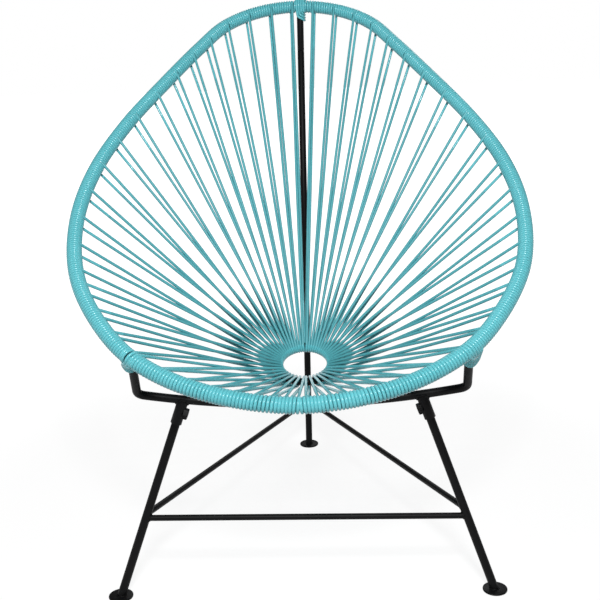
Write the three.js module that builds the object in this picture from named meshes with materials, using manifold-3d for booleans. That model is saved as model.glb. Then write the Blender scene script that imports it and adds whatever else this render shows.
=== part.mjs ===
// Acapulco chair: a pear-shaped steel hoop wound with vinyl cord, the cord strung to a small
// centre ring, all carried by a three-legged steel base.
// Millimetres, +Z up, the front of the seat faces -Y.
// The origin is on the floor, under the middle of the hoop and of the centre ring.
import * as THREE from 'three';
import { mergeVertices } from 'three/addons/utils/BufferGeometryUtils.js';
import Module from 'manifold-3d';

const wasm = await Module();
wasm.setup();

// Hoop: length along its slope and width, both to the middle of its tube
const RIM_LENGTH = 1024;
const RIM_WIDTH = 760;
const RIM_SLOPE_DEG = 33.6;
const RIM_FRONT_HEIGHT = 370;
const RIM_BOW = 11.5;
const RIM_TUBE = 16;
// Half outline, from the front to the back: share of the length, share of the half width
const RIM_OUTLINE_SHARES = [
  [0, 0],
  [0.012, 0.25],
  [0.045, 0.49],
  [0.1, 0.695],
  [0.18, 0.85],
  [0.28, 0.961],
  [0.4, 1],
  [0.52, 0.961],
  [0.64, 0.849],
  [0.76, 0.686],
  [0.87, 0.52],
  [0.94, 0.393],
  [0.983, 0.22],
  [1, 0],
];

// Cord and its weave
const CORD = 4.8;
const PAIRS_PER_SIDE = 26;
// Spacing of the cord's stations on the hoop, from the back to the front: place, spacing
const STATION_SPACING_SHARES = [
  [0, 0.58],
  [0.22, 0.825],
  [0.325, 1],
  [0.64, 0.86],
  [0.805, 0.69],
  [1, 0.305],
];
// A cord comes back under the hoop this far past the place where it left over the hoop
const RETURN_STEP = 3;
const TURN_PITCH = 5.45;
const TURNS_PER_RIB = 5;
const RIB_DEPTH = 1.1;
// Pairs in each panel of a side, from the back to the front; the last two are the front winding
const PANEL_PAIRS = [5, 4, 4, 5, 4, 4];
const BACK_PANELS = 4;

// Centre ring
const RING_TUBE = 12.7;
const RING_DIAMETER = 105.4;
const RING_BELOW_FRONT = 82.5;
const RING_TILT_DEG = 21;

// Base tubes and rods
const TUBE = 14;
const ROD = 10;
const BAR_DROP = 84;
const BAR_SETBACK = 66;
const BAR_SPLAY = 7.5;
const BAR_BOW = 41;
const BAR_BEND_RADIUS = 12;
const CORNER_SHARE = 0.8;
const FRONT_FEET_WIDTH = 612;
const FRONT_FEET_OFFSET = 318;
const REAR_FOOT_OFFSET = 289;
const LEG_TOPS_WIDTH = 382;
const CROSSBAR_HEIGHT = 127;
const BRACE_FRONT_HEIGHT = 137;
const BRACE_REAR_HEIGHT = 98;
const FOOT_DIAMETER = 40;
const FOOT_THICKNESS = 3.2;
const FOOT_EDGE = 1.2;

// Leg sockets and their bolts
const SOCKET_OUTER = 18.4;
const SOCKET_LENGTH = 34;
const SOCKET_LIP = 5;
const BOLT_HEAD_FLATS = 16;
const BOLT_HEAD_HEIGHT = 5.4;
const BOLT_SHANK = 8;
const BOLT_BELOW_BAR = 21;

// Joint between the stub under the hoop and the rear leg
const STUB_LENGTH = 92;
const STUB_WALL = 1.5;
const SPIGOT_LENGTH = 34;

// Cord whipped round the tops of the tubes that meet the hoop, its turns hanging lower at the front
const WHIP_TURNS = 4;
const WHIP_PITCH = 5.6;
const WHIP_BELOW_WINDING = 5;
const WHIP_SAG = 9;

// Clearances
const GAP = 0.3;
const SLIDE = 0.25;
const WINDING_GAP = 0.45;
const OVERRUN = 30;
const CORNER_GAP = 2.4;

// Facets
const CORD_SIDES = 5;
const LOOP_STEPS = 5;
const WHIP_STEPS = 10;
const SLEEVE_SIDES = 8;
const TUBE_SIDES = 12;
const ROD_SIDES = 10;
const HEX_SIDES = 6;
const RING_STEPS = 36;
const RING_SIDES = 8;
const BEND_STEPS = 4;
const BOW_STEPS = 8;
const RIM_SAMPLES = 2400;

const steel = new THREE.MeshStandardMaterial({ color: 0x232323, roughness: 0.45, metalness: 0.3 });
const vinyl = new THREE.MeshStandardMaterial({ color: 0x5cbcc0, roughness: 0.3, metalness: 0 });

const chair = new THREE.Group();
const slope = THREE.MathUtils.degToRad(RIM_SLOPE_DEG);
const rimAlong = new THREE.Vector3(0, Math.cos(slope), Math.sin(slope));
const rimUp = new THREE.Vector3(0, -Math.sin(slope), Math.cos(slope));
const cordRadius = CORD / 2;
const windingRadius = RIM_TUBE / 2 + GAP + CORD;

function add(name, geometry, material) {
  const mesh = new THREE.Mesh(geometry, material);
  mesh.name = name;
  chair.add(mesh);
}

// A closed geometry as a solid that can be joined and cut
function solidOf(geometry) {
  const bare = new THREE.BufferGeometry();
  bare.setAttribute('position', geometry.attributes.position);
  if (geometry.index) bare.setIndex(geometry.index);
  const merged = mergeVertices(bare, 1e-4);
  return new wasm.Manifold(new wasm.Mesh({
    numProp: 3,
    vertProperties: new Float32Array(merged.attributes.position.array),
    triVerts: new Uint32Array(merged.index.array),
  }));
}

function geometryOf(solid) {
  const mesh = solid.getMesh();
  const geometry = new THREE.BufferGeometry();
  geometry.setAttribute('position', new THREE.BufferAttribute(mesh.vertProperties, 3));
  geometry.setIndex(new THREE.BufferAttribute(mesh.triVerts, 1));
  geometry.computeVertexNormals();
  return geometry;
}

// Skin over rings of points; a closed row joins its last ring to its first
function skin(rings, closedRow = false) {
  const count = rings[0].length;
  const points = rings.flat();
  const index = [];
  const rows = closedRow ? rings.length : rings.length - 1;
  for (let row = 0; row < rows; row += 1) {
    const here = row * count;
    const next = ((row + 1) % rings.length) * count;
    for (let k = 0; k < count; k += 1) {
      const k2 = (k + 1) % count;
      index.push(here + k, here + k2, next + k2, here + k, next + k2, next + k);
    }
  }
  if (!closedRow) {
    const last = (rings.length - 1) * count;
    for (let k = 1; k < count - 1; k += 1) {
      index.push(0, k + 1, k, last, last + k, last + k + 1);
    }
  }
  const geometry = new THREE.BufferGeometry().setFromPoints(points);
  geometry.setIndex(index);
  facePointsOut(geometry);
  geometry.computeVertexNormals();
  return geometry;
}

// Turns a closed geometry inside out where its volume comes out negative
function facePointsOut(geometry) {
  const place = geometry.attributes.position;
  const index = geometry.index.array;
  const corners = [new THREE.Vector3(), new THREE.Vector3(), new THREE.Vector3()];
  let volume = 0;
  for (let k = 0; k < index.length; k += 3) {
    corners.forEach((corner, c) => corner.fromBufferAttribute(place, index[k + c]));
    volume += corners[0].dot(corners[1].clone().cross(corners[2]));
  }
  if (volume < 0) {
    for (let k = 0; k < index.length; k += 3) {
      [index[k + 1], index[k + 2]] = [index[k + 2], index[k + 1]];
    }
  }
}

function ringPoints(centre, sideways, upward, radius, sides) {
  const ring = [];
  for (let k = 0; k < sides; k += 1) {
    const turn = ((k + 0.5) / sides) * 2 * Math.PI;
    ring.push(centre.clone()
      .addScaledVector(sideways, radius * Math.cos(turn))
      .addScaledVector(upward, radius * Math.sin(turn)));
  }
  return ring;
}

// Round tube along a row of points, its section carried from point to point without twist
function tubeAlong(points, radius, sides) {
  const headings = points.map((point, k) => {
    const before = points[Math.max(k - 1, 0)];
    const after = points[Math.min(k + 1, points.length - 1)];
    return after.clone().sub(before).normalize();
  });
  let sideways = new THREE.Vector3(1, 0, 0);
  if (Math.abs(headings[0].x) > 0.8) sideways.set(0, 0, 1);
  const rings = points.map((point, k) => {
    sideways = sideways.clone().addScaledVector(headings[k], -sideways.dot(headings[k])).normalize();
    const upward = headings[k].clone().cross(sideways);
    return ringPoints(point, sideways, upward, radius, sides);
  });
  return skin(rings);
}

// Straight round bar from one point to another, run on past its ends
function straightBar(from, to, radius, sides, before = 0, after = 0) {
  const heading = to.clone().sub(from).normalize();
  const start = from.clone().addScaledVector(heading, -before);
  const end = to.clone().addScaledVector(heading, after);
  return tubeAlong([start, end], radius, sides);
}

// Radius of a faceted cutter that clears a round tube all the way round
function clearOf(diameter, sides) {
  return (diameter / 2 + GAP) / Math.cos(Math.PI / sides);
}

// Everything below a height, as a cutter
function belowHeight(height) {
  const size = RIM_LENGTH * 2;
  const box = new THREE.BoxGeometry(size, size, size);
  box.translate(0, 0, height - size / 2);
  return solidOf(box);
}

// Hoop centre line: closed, from the middle of the back round the left side to the front
function rimPoint(lengthShare, widthShare, side) {
  const sag = 4 * RIM_BOW * lengthShare * (1 - lengthShare);
  return new THREE.Vector3(side * widthShare * RIM_WIDTH / 2, 0, 0)
    .addScaledVector(rimAlong, (lengthShare - 0.5) * RIM_LENGTH)
    .addScaledVector(rimUp, -sag)
    .add(new THREE.Vector3(0, 0, RIM_FRONT_HEIGHT + Math.sin(slope) * RIM_LENGTH / 2));
}
const halfOutline = RIM_OUTLINE_SHARES.slice(1, -1);
const rimCurve = new THREE.CatmullRomCurve3([
  rimPoint(1, 0, 1),
  ...halfOutline.slice().reverse().map(([along, across]) => rimPoint(along, across, -1)),
  rimPoint(0, 0, 1),
  ...halfOutline.map(([along, across]) => rimPoint(along, across, 1)),
], true, 'centripetal');
rimCurve.arcLengthDivisions = RIM_SAMPLES;
const halfRimLength = rimCurve.getLength() / 2;

// Frame of the hoop at an arc length from the middle of the back, side -1 left or 1 right
function rimFrame(arc, side) {
  const share = Math.min(Math.max(arc / halfRimLength, 0), 1) / 2;
  const centre = rimCurve.getPointAt(share);
  const heading = rimCurve.getTangentAt(share);
  const upward = rimUp.clone().addScaledVector(heading, -rimUp.dot(heading)).normalize();
  const frame = { centre, heading, upward };
  if (side > 0) {
    Object.values(frame).forEach((vector) => vector.setX(-vector.x));
  }
  frame.outward = frame.upward.clone().cross(frame.heading).multiplyScalar(side);
  return frame;
}

// Arc lengths of the stations where the cord leaves the hoop, over it and under it
function spacingShare(place) {
  const rows = STATION_SPACING_SHARES;
  const k = Math.max(rows.findIndex(([at]) => at >= place), 1);
  const [from, low] = rows[k - 1];
  const [to, high] = rows[k];
  return low + (high - low) * (place - from) / (to - from);
}
function stationArcs() {
  const density = [0];
  for (let k = 1; k <= RIM_SAMPLES; k += 1) {
    density.push(density[k - 1] + 1 / spacingShare((k - 0.5) / RIM_SAMPLES));
  }
  const total = density[RIM_SAMPLES];
  const arcAt = (count) => {
    const wanted = (count / PAIRS_PER_SIDE) * total;
    return (density.findIndex((value) => value >= wanted) / RIM_SAMPLES) * halfRimLength;
  };
  const stations = [];
  for (let pair = 0; pair < PAIRS_PER_SIDE; pair += 1) {
    const over = arcAt(pair + 0.5);
    stations.push({ over, under: over + RETURN_STEP });
  }
  return stations;
}
const stations = stationArcs();

// Corner of the hoop that the support bar meets
const cornerArc = CORNER_SHARE * halfRimLength;

// Arc lengths at which the winding is parted into panels
function panelSpans() {
  const spans = [];
  let first = 0;
  PANEL_PAIRS.forEach((count, panel) => {
    const last = first + count;
    const startsAtCorner = panel === BACK_PANELS;
    const endsAtCorner = panel === BACK_PANELS - 1;
    const middle = (k) => (stations[k - 1].under + stations[k].over) / 2;
    let from = first === 0 ? 0 : middle(first);
    let to = last === PAIRS_PER_SIDE ? halfRimLength : middle(last);
    from = startsAtCorner ? cornerArc + CORNER_GAP / 2 : from + GAP / 2;
    to = endsAtCorner ? cornerArc - CORNER_GAP / 2 : to - GAP / 2;
    spans.push({ from, to, first, last });
    first = last;
  });
  return spans;
}
const panels = panelSpans();

// Arc lengths of the rings of one panel, two ribs to a step, closer where the hoop turns most
function panelSteps({ from, to, first }) {
  const turns = first === 0 ? TURNS_PER_RIB : 2 * TURNS_PER_RIB;
  const steps = Math.max(Math.round((to - from) / (turns * TURN_PITCH)), 1);
  return Array.from({ length: steps + 1 }, (_, k) => from + (to - from) * (k / steps));
}

// Frame at an arc length on the hoop's facets
function facetFrame(arc, side) {
  const arcs = panels.flatMap((panel) => panelSteps(panel));
  const next = Math.max(arcs.findIndex((value) => value > arc), 1);
  const share = (arc - arcs[next - 1]) / (arcs[next] - arcs[next - 1]);
  const frame = rimFrame(arc, side);
  frame.centre = rimFrame(arcs[next - 1], side).centre.lerp(rimFrame(arcs[next], side).centre, share);
  return frame;
}

function mirrorRing(ring) {
  return ring.map((point) => new THREE.Vector3(-point.x, point.y, point.z));
}

// Closed tube along the hoop
function hoopGeometry(radius) {
  const left = panels.flatMap((panel) => panelSteps(panel)).map((arc) => {
    const frame = rimFrame(arc, -1);
    return ringPoints(frame.centre, frame.outward, frame.upward, radius, SLEEVE_SIDES);
  });
  const right = left.slice().reverse().map((ring) => mirrorRing(ring));
  return skin([...left, ...right], true);
}

// Ribbed winding round the hoop over one panel, with its bore
function windingGeometry(panel, side) {
  const steps = panelSteps(panel);
  const flatness = Math.cos(Math.PI / SLEEVE_SIDES);
  const bore = (RIM_TUBE / 2 * flatness + WINDING_GAP) / flatness;
  const outer = [];
  const inner = [];
  steps.forEach((arc, k) => {
    const frame = rimFrame(arc, side);
    inner.push(ringPoints(frame.centre, frame.outward, frame.upward, bore, SLEEVE_SIDES));
    if (k + 1 === steps.length) return;
    const stride = steps[k + 1] - arc;
    for (let quarter = 0; quarter < 4; quarter += 1) {
      const share = quarter / 4;
      const at = rimFrame(arc + stride * share, side);
      const next = rimFrame(steps[k + 1], side);
      const centre = frame.centre.clone().lerp(next.centre, share);
      const radius = quarter % 2 === 0 ? windingRadius - RIB_DEPTH : windingRadius;
      outer.push(ringPoints(centre, at.outward, at.upward, radius, SLEEVE_SIDES));
    }
  });
  const end = rimFrame(steps[steps.length - 1], side);
  outer.push(ringPoints(end.centre, end.outward, end.upward, windingRadius - RIB_DEPTH, SLEEVE_SIDES));
  return skin([...outer, ...inner.reverse()], true);
}

// Centre ring
const ringTilt = THREE.MathUtils.degToRad(RING_TILT_DEG);
const ringCentre = new THREE.Vector3(0, 0, RIM_FRONT_HEIGHT - RING_BELOW_FRONT);
const ringUp = new THREE.Vector3(0, -Math.sin(ringTilt), Math.cos(ringTilt));
const ringBack = new THREE.Vector3(0, Math.cos(ringTilt), Math.sin(ringTilt));
const ringRadius = RING_DIAMETER / 2;
const loopRadius = (RING_TUBE / 2 + GAP) / Math.cos(Math.PI / LOOP_STEPS / 2) + cordRadius;

function ringOutward(angle, side) {
  return new THREE.Vector3(side * Math.sin(angle), 0, 0).addScaledVector(ringBack, Math.cos(angle));
}

function makeCentreRing() {
  const rings = [];
  for (let k = 0; k < RING_STEPS; k += 1) {
    const outward = ringOutward((k / RING_STEPS) * 2 * Math.PI, 1);
    const centre = ringCentre.clone().addScaledVector(outward, ringRadius);
    rings.push(ringPoints(centre, outward, ringUp, RING_TUBE / 2, RING_SIDES));
  }
  add('centre_ring', skin(rings, true), steel);
}

// Point where a cord lies on the hoop's winding, over it (1) or under it (-1)
function cordSeat(arc, side, towards, layer) {
  const frame = facetFrame(arc, side);
  const heading = towards.clone().sub(frame.centre);
  const inSection = heading.addScaledVector(frame.heading, -heading.dot(frame.heading)).normalize();
  const away = frame.heading.clone().cross(inSection);
  if (away.dot(frame.upward) * layer < 0) away.negate();
  return frame.centre.clone().addScaledVector(away, RIM_TUBE / 2 + GAP + cordRadius);
}

// Place where the strand that goes out passes the strand that comes back, behind it and clear of it
function crossingPlace(start, loopStart, loopEnd, end, forward) {
  const back = new THREE.Ray(loopEnd, end.clone().sub(loopEnd).normalize());
  const crossing = new THREE.Vector3();
  back.distanceSqToSegment(start, loopStart, crossing);
  const aside = back.direction.clone().cross(loopStart.clone().sub(start)).normalize();
  if (aside.dot(forward) > 0) aside.negate();
  return crossing.addScaledVector(aside, CORD + 2 * GAP);
}

// One pair: from the top of the winding to the ring's underside, up round the ring's inner side
// and back over the ring to the winding's underside, so that its two strands cross on the way
function pairRoute(pair, side) {
  const outward = ringOutward((pair + 0.5) * Math.PI / PAIRS_PER_SIDE, side);
  const centre = ringCentre.clone().addScaledVector(outward, ringRadius);
  const start = cordSeat(stations[pair].over, side, centre, 1);
  const end = cordSeat(stations[pair].under, side, centre, -1);
  const touch = (seat, layer) => {
    const reach = seat.clone().sub(centre);
    const across = reach.dot(outward);
    const above = reach.dot(ringUp);
    return Math.atan2(above, across) + layer * Math.acos(loopRadius / Math.hypot(across, above));
  };
  const from = touch(start, -1);
  const to = touch(end, 1) - 2 * Math.PI;
  const loop = [];
  for (let k = 0; k <= LOOP_STEPS; k += 1) {
    const turn = from + (to - from) * (k / LOOP_STEPS);
    loop.push(centre.clone()
      .addScaledVector(outward, loopRadius * Math.cos(turn))
      .addScaledVector(ringUp, loopRadius * Math.sin(turn)));
  }
  const { heading } = rimFrame(stations[pair].over, side);
  return [start, crossingPlace(start, loop[0], loop[LOOP_STEPS], end, heading), ...loop, end];
}

// Least gap between points of two routes
function leastGap(routeA, routeB) {
  let least = Infinity;
  routeA.forEach((a) => routeB.forEach((b) => {
    least = Math.min(least, a.distanceTo(b));
  }));
  return least - CORD;
}

function makePanels() {
  let least = Infinity;
  [-1, 1].forEach((side) => {
    const sideName = side < 0 ? 'left' : 'right';
    panels.forEach((panel, number) => {
      let body = solidOf(windingGeometry(panel, side));
      let before = null;
      for (let pair = panel.first; pair < panel.last; pair += 1) {
        const route = pairRoute(pair, side);
        if (before) least = Math.min(least, leastGap(before.slice(1, -1), route.slice(1, -1)));
        before = route;
        body = body.add(solidOf(tubeAlong(route, cordRadius, CORD_SIDES)));
      }
      if (number === 0) body = body.subtract(stubCutter());
      if (number === BACK_PANELS - 1 || number === BACK_PANELS) body = body.subtract(uprightCutter(side));
      const place = number < BACK_PANELS ? 'back' : 'front';
      const order = number < BACK_PANELS ? number + 1 : number - BACK_PANELS + 1;
      add(`${place}_cord_panel_${sideName}_${order}`, geometryOf(body), vinyl);
    });
  });
  console.log(`least gap between neighbouring cord loops on the ring: ${least.toFixed(2)} mm`);
}

// Support bar: a bowed bar under the front of the seat, its ends turned up to the hoop
const downBar = new THREE.Vector3(0, BAR_SETBACK, -BAR_DROP).normalize();
function barEnd(side) {
  const top = rimFrame(cornerArc, side).centre;
  const bottom = top.clone().add(new THREE.Vector3(side * BAR_SPLAY, BAR_SETBACK, -BAR_DROP));
  return { top, bottom, heading: bottom.clone().sub(top).normalize() };
}
function barPoint(x) {
  const { bottom } = barEnd(1);
  const share = 1 - (x / bottom.x) ** 2;
  return new THREE.Vector3(x, bottom.y, bottom.z).addScaledVector(downBar, BAR_BOW * share);
}
function uprightCutter(side) {
  const { top, bottom } = barEnd(side);
  return solidOf(straightBar(top, bottom, clearOf(TUBE, TUBE_SIDES), TUBE_SIDES, 0, OVERRUN));
}
function hoopCutter() {
  return solidOf(hoopGeometry(clearOf(RIM_TUBE, SLEEVE_SIDES)));
}

function makeSupportBar() {
  const half = [];
  const { top, bottom, heading } = barEnd(1);
  const corner = barPoint(bottom.x);
  const inward = barPoint(bottom.x - BAR_BEND_RADIUS);
  half.push(top.clone().addScaledVector(heading, RIM_TUBE / 4));
  for (let k = 0; k <= BEND_STEPS; k += 1) {
    const share = k / BEND_STEPS;
    const start = corner.clone().addScaledVector(heading, -BAR_BEND_RADIUS);
    const first = start.lerp(corner, share);
    const second = corner.clone().lerp(inward, share);
    half.push(first.lerp(second, share));
  }
  for (let k = 1; k < BOW_STEPS; k += 1) {
    half.push(barPoint(inward.x * (1 - k / BOW_STEPS)));
  }
  const mirrored = half.slice().reverse().map((point) => new THREE.Vector3(-point.x, point.y, point.z));
  const bar = solidOf(tubeAlong([...half, barPoint(0), ...mirrored], TUBE / 2, TUBE_SIDES));
  const cut = bar.subtract(hoopCutter());
  add('support_bar', geometryOf(cut), steel);
}

// Front legs
function legLine(side) {
  const foot = new THREE.Vector3(side * FRONT_FEET_WIDTH / 2, -FRONT_FEET_OFFSET, 0);
  const top = barPoint(side * LEG_TOPS_WIDTH / 2);
  return { foot, top, heading: top.clone().sub(foot).normalize() };
}
function legPointAt(side, height) {
  const { foot, top } = legLine(side);
  return foot.clone().lerp(top, height / top.z);
}
function legCutter(side) {
  const { foot, top } = legLine(side);
  return solidOf(straightBar(foot, top, clearOf(TUBE, TUBE_SIDES), TUBE_SIDES, OVERRUN, 0));
}

function makeFrontLeg(side, name) {
  const { foot, top, heading } = legLine(side);
  const end = top.clone().addScaledVector(heading, -(TUBE / 2 + SOCKET_LIP));
  const leg = solidOf(straightBar(foot, end, TUBE / 2, TUBE_SIDES, OVERRUN, 0));
  add(name, geometryOf(leg.subtract(belowHeight(FOOT_THICKNESS + GAP))), steel);
}

// Direction square to a leg, towards the middle of the chair
function socketInward(side) {
  const { heading } = legLine(side);
  const inward = new THREE.Vector3(-side, 0, 0);
  return inward.addScaledVector(heading, -inward.dot(heading)).normalize();
}
function boltLine(side) {
  const { top, heading } = legLine(side);
  const inward = socketInward(side);
  const axis = top.clone().addScaledVector(heading, -BOLT_BELOW_BAR);
  return {
    tip: axis.clone().addScaledVector(inward, TUBE / 2 + GAP),
    seat: axis.clone().addScaledVector(inward, SOCKET_OUTER / 2 + GAP),
    inward,
  };
}

function makeSocket(side, name) {
  const { top, heading } = legLine(side);
  const mouth = top.clone().addScaledVector(heading, -(TUBE / 2 + SOCKET_LENGTH));
  const roof = top.clone().addScaledVector(heading, -(TUBE / 2 + SOCKET_LIP - GAP));
  const flatness = Math.cos(Math.PI / TUBE_SIDES);
  let socket = solidOf(straightBar(mouth, top, SOCKET_OUTER / 2, TUBE_SIDES));
  const bore = straightBar(mouth, roof, (TUBE / 2 + SLIDE) / flatness, TUBE_SIDES, OVERRUN, 0);
  socket = socket.subtract(solidOf(bore)).subtract(barCutter());
  const { tip, seat } = boltLine(side);
  const hole = straightBar(tip, seat, BOLT_SHANK / 2 + SLIDE, ROD_SIDES, TUBE / 2, TUBE / 2);
  add(name, geometryOf(socket.subtract(solidOf(hole))), steel);
}
function barCutter() {
  const reach = LEG_TOPS_WIDTH / 2 + SOCKET_OUTER + OVERRUN;
  const points = Array.from({ length: 4 * BOW_STEPS + 1 }, (_, k) => barPoint(reach * (k / (2 * BOW_STEPS) - 1)));
  return solidOf(tubeAlong(points, clearOf(TUBE, TUBE_SIDES), TUBE_SIDES));
}

function makeSocketBolt(side, name) {
  const { tip, seat, inward } = boltLine(side);
  const shank = straightBar(tip, seat, BOLT_SHANK / 2, ROD_SIDES, 0, BOLT_HEAD_HEIGHT / 2);
  const top = seat.clone().addScaledVector(inward, BOLT_HEAD_HEIGHT);
  const head = straightBar(seat, top, BOLT_HEAD_FLATS / 2 / Math.cos(Math.PI / HEX_SIDES), HEX_SIDES);
  add(name, geometryOf(solidOf(shank).add(solidOf(head))), steel);
}

// Rear leg: one line from its foot to the middle of the hoop's back, parted at the stub
const rearFoot = new THREE.Vector3(0, REAR_FOOT_OFFSET, 0);
const hoopBack = rimFrame(0, -1).centre;
const rearHeading = hoopBack.clone().sub(rearFoot).normalize();
const stubEnd = hoopBack.clone().addScaledVector(rearHeading, -STUB_LENGTH);
function rearPointAt(height) {
  return rearFoot.clone().lerp(hoopBack, height / hoopBack.z);
}
function stubCutter() {
  return solidOf(straightBar(stubEnd, hoopBack, clearOf(TUBE, TUBE_SIDES), TUBE_SIDES));
}

function makeRearLeg() {
  const top = stubEnd.clone().addScaledVector(rearHeading, -GAP);
  const leg = solidOf(straightBar(rearFoot, top, TUBE / 2, TUBE_SIDES, OVERRUN, 0));
  const spigotEnd = stubEnd.clone().addScaledVector(rearHeading, SPIGOT_LENGTH);
  const spigot = straightBar(top, spigotEnd, TUBE / 2 - STUB_WALL - SLIDE, TUBE_SIDES, TUBE, 0);
  add('rear_leg', geometryOf(leg.add(solidOf(spigot)).subtract(belowHeight(FOOT_THICKNESS + GAP))), steel);
}

function makeRearStub() {
  const outer = solidOf(straightBar(stubEnd, hoopBack, TUBE / 2, TUBE_SIDES, 0, -RIM_TUBE / 4));
  const boreEnd = stubEnd.clone().addScaledVector(rearHeading, SPIGOT_LENGTH + SOCKET_LIP);
  const bore = solidOf(straightBar(stubEnd, boreEnd, TUBE / 2 - STUB_WALL, TUBE_SIDES, OVERRUN, 0));
  add('rear_leg_stub', geometryOf(outer.subtract(bore).subtract(hoopCutter())), steel);
}

// Rods of the base
function makeCrossbar() {
  const rod = solidOf(straightBar(legPointAt(-1, CROSSBAR_HEIGHT), legPointAt(1, CROSSBAR_HEIGHT),
    ROD / 2, ROD_SIDES));
  const cut = rod.subtract(legCutter(-1)).subtract(legCutter(1));
  add('crossbar', geometryOf(cut), steel);
}

function makeBrace(side, name) {
  const front = legPointAt(side, BRACE_FRONT_HEIGHT);
  const rear = rearPointAt(BRACE_REAR_HEIGHT);
  const rod = solidOf(straightBar(front, rear, ROD / 2, ROD_SIDES));
  const rearCut = solidOf(straightBar(rearFoot, stubEnd, clearOf(TUBE, TUBE_SIDES), TUBE_SIDES));
  const size = RIM_LENGTH * 2;
  const farHalf = new THREE.BoxGeometry(size, size, size);
  farHalf.translate(side * (GAP / 2 - size / 2), 0, 0);
  const cut = rod.subtract(legCutter(side)).subtract(rearCut).subtract(solidOf(farHalf));
  add(name, geometryOf(cut), steel);
}

// Foot: a flat round plate with eased edges
function makeFoot(place, name) {
  const radius = FOOT_DIAMETER / 2;
  const profile = [
    new THREE.Vector2(0, 0),
    new THREE.Vector2(radius - FOOT_EDGE, 0),
    new THREE.Vector2(radius, FOOT_EDGE),
    new THREE.Vector2(radius, FOOT_THICKNESS - FOOT_EDGE),
    new THREE.Vector2(radius - FOOT_EDGE, FOOT_THICKNESS),
    new THREE.Vector2(0, FOOT_THICKNESS),
  ];
  const plate = new THREE.LatheGeometry(profile, 2 * TUBE_SIDES);
  plate.rotateX(Math.PI / 2);
  plate.translate(place.x, place.y, 0);
  add(name, geometryOf(solidOf(plate)), steel);
}

// Whipping: one cord wound down a tube from just below the hoop's winding, each turn low at the front
function makeWhipping(top, towards, name) {
  const heading = towards.clone().sub(top).normalize();
  const sideways = new THREE.Vector3(1, 0, 0);
  sideways.addScaledVector(heading, -sideways.dot(heading)).normalize();
  const upward = heading.clone().cross(sideways);
  const radius = (TUBE / 2 + GAP) / Math.cos(Math.PI / WHIP_STEPS) + cordRadius;
  const start = windingRadius + WHIP_BELOW_WINDING;
  const route = [];
  for (let k = 0; k <= WHIP_TURNS * WHIP_STEPS; k += 1) {
    const turns = k / WHIP_STEPS;
    const front = Math.sin(turns * 2 * Math.PI);
    route.push(top.clone()
      .addScaledVector(heading, start + turns * WHIP_PITCH + WHIP_SAG * (1 + front) / 2)
      .addScaledVector(sideways, radius * Math.cos(turns * 2 * Math.PI))
      .addScaledVector(upward, radius * front));
  }
  let least = Infinity;
  route.forEach((point, k) => {
    const later = route.slice(k + WHIP_STEPS / 2);
    if (later.length > 0) least = Math.min(least, leastGap([point], later));
  });
  console.log(`least gap of ${name} to itself: ${least.toFixed(2)} mm`);
  add(name, tubeAlong(route, cordRadius, CORD_SIDES), vinyl);
}

add('rim_hoop', hoopGeometry(RIM_TUBE / 2), steel);
makeCentreRing();
makeSupportBar();
[[-1, 'left'], [1, 'right']].forEach(([side, word]) => {
  makeFrontLeg(side, `front_leg_${word}`);
  makeSocket(side, `leg_socket_${word}`);
  makeSocketBolt(side, `socket_bolt_${word}`);
  makeBrace(side, `brace_${word}`);
  makeFoot(legLine(side).foot, `foot_plate_front_${word}`);
  const { top, bottom } = barEnd(side);
  makeWhipping(top, bottom, `corner_whipping_${word}`);
});
makeRearLeg();
makeRearStub();
makeCrossbar();
makeFoot(rearFoot, 'foot_plate_rear');
makeWhipping(hoopBack, rearFoot, 'top_whipping');
makePanels();

export default chair;
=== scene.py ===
import math
import random

import bpy
import numpy as np
from mathutils import Matrix, Vector


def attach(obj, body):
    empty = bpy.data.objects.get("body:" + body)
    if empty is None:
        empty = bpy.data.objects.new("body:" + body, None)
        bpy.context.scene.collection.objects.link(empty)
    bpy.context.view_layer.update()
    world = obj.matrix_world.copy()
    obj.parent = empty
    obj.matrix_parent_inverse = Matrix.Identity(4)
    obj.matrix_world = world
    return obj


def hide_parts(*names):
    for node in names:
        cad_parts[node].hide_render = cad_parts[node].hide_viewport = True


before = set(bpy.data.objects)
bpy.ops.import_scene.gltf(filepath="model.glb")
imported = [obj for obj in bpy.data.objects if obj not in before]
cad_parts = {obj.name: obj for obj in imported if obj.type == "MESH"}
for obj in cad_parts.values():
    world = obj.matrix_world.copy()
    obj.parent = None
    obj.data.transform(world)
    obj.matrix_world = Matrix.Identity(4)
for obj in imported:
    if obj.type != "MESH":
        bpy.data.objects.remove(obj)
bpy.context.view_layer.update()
scene = bpy.context.scene
scene.view_settings.view_transform = "Standard"
rng = random.Random(7)

# ---------------------------------------------------------------- sizes in metres; tubes, rods, cord: radii
RIM_LENGTH = 1.024
RIM_HALF_WIDTH = 0.380
RIM_SLOPE = math.radians(33.6)
RIM_FRONT_HEIGHT = 0.370
RIM_BOW = 0.0115
HOOP = 0.0080
CORD = 0.00247
CLEAR = 0.0001
# where the support bar meets the hoop, as a share of its half from the back
CORNER_SHARE = 0.8
# half of the hoop's outline from the front: share of the length, share of the half width
OUTLINE = [
    (0.012, 0.25), (0.045, 0.49), (0.1, 0.695), (0.18, 0.85), (0.28, 0.961), (0.4, 1.0),
    (0.52, 0.961), (0.64, 0.849), (0.76, 0.686), (0.87, 0.52), (0.94, 0.393), (0.983, 0.22),
]
# how far apart the pairs stand along each half from the back: place, relative distance
SPACING = [(0, 0.58), (0.22, 0.825), (0.325, 1.0), (0.64, 0.86), (0.805, 0.69), (1, 0.305)]
# pairs of strands a side
PAIRS = 26
BACK_PAIRS = 18
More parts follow.
